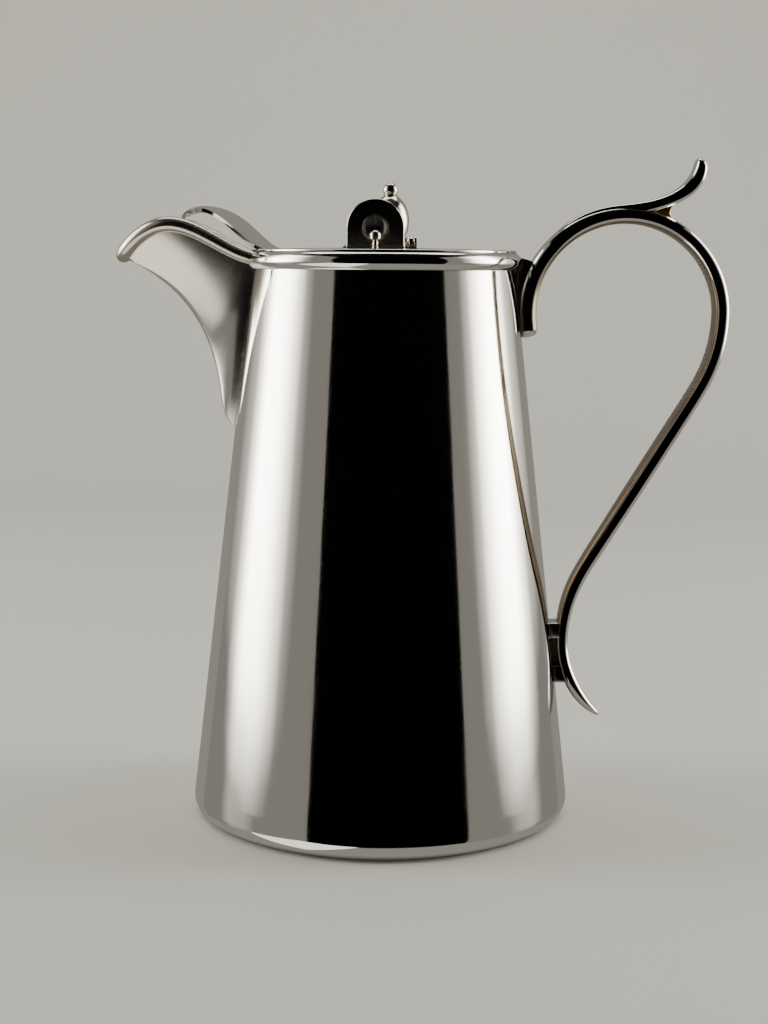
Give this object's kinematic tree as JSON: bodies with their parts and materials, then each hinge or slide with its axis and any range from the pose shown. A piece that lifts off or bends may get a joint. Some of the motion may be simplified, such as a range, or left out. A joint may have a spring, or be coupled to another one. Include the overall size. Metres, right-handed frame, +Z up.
{
  "type": "coffee pot",
  "caption": "Tapered metal coffee pot with a beaked pouring spout, strap handle with thumb spur, and a lid whose front half and spout cover lift on a cross hinge.",
  "frame": {"origin": "on the body's axis at the flat underside of the base", "axes": "+Z up along the body's axis, spout towards -X, handle towards +X, Y across the pot"},
  "size_m": [0.1922, 0.1204, 0.2073],
  "materials": {
    "polished_silver": "mirror polished silver plate, worn",
    "satin_silver": "satin silver plate",
    "fitting_silver": "polished silver with tarnish in the corners",
    "solder": "bare golden solder"
  },
  "bodies": {
    "pot": {"body_shell": "polished_silver", "base_plate": "polished_silver", "rim_bead": "polished_silver", "spout_shell": "satin_silver", "spout_bead": "fitting_silver", "handle_strap": "polished_silver", "handle_spur": "polished_silver", "spur_solder": "solder", "handle_rim_block": "fitting_silver", "handle_lower_foot": "fitting_silver", "lid_rear": "polished_silver", "hinge_lug_near": "fitting_silver", "hinge_lug_far": "fitting_silver", "knob_body": "fitting_silver", "knob_ball": "fitting_silver", "knob_stud": "fitting_silver", "knob_nut": "fitting_silver", "stop_button": "fitting_silver", "stop_plate": "fitting_silver", "pin_keeper_near": "fitting_silver", "pin_keeper_far": "fitting_silver"},
    "flap": {"lid_flap": "polished_silver", "spout_hood": "polished_silver", "flap_ear_near": "fitting_silver", "flap_ear_far": "fitting_silver", "hinge_pin_near": "fitting_silver", "hinge_pin_far": "fitting_silver", "pin_boss_near": "fitting_silver", "pin_boss_far": "fitting_silver"}
  },
  "joints": [
    {"name": "flap_hinge", "type": "hinge", "parent": "pot", "child": "flap", "pos_m": [-0.0027, 0, 0.1854], "axis": [0, 1, 0], "range_deg": [0, 100]}
  ]
}
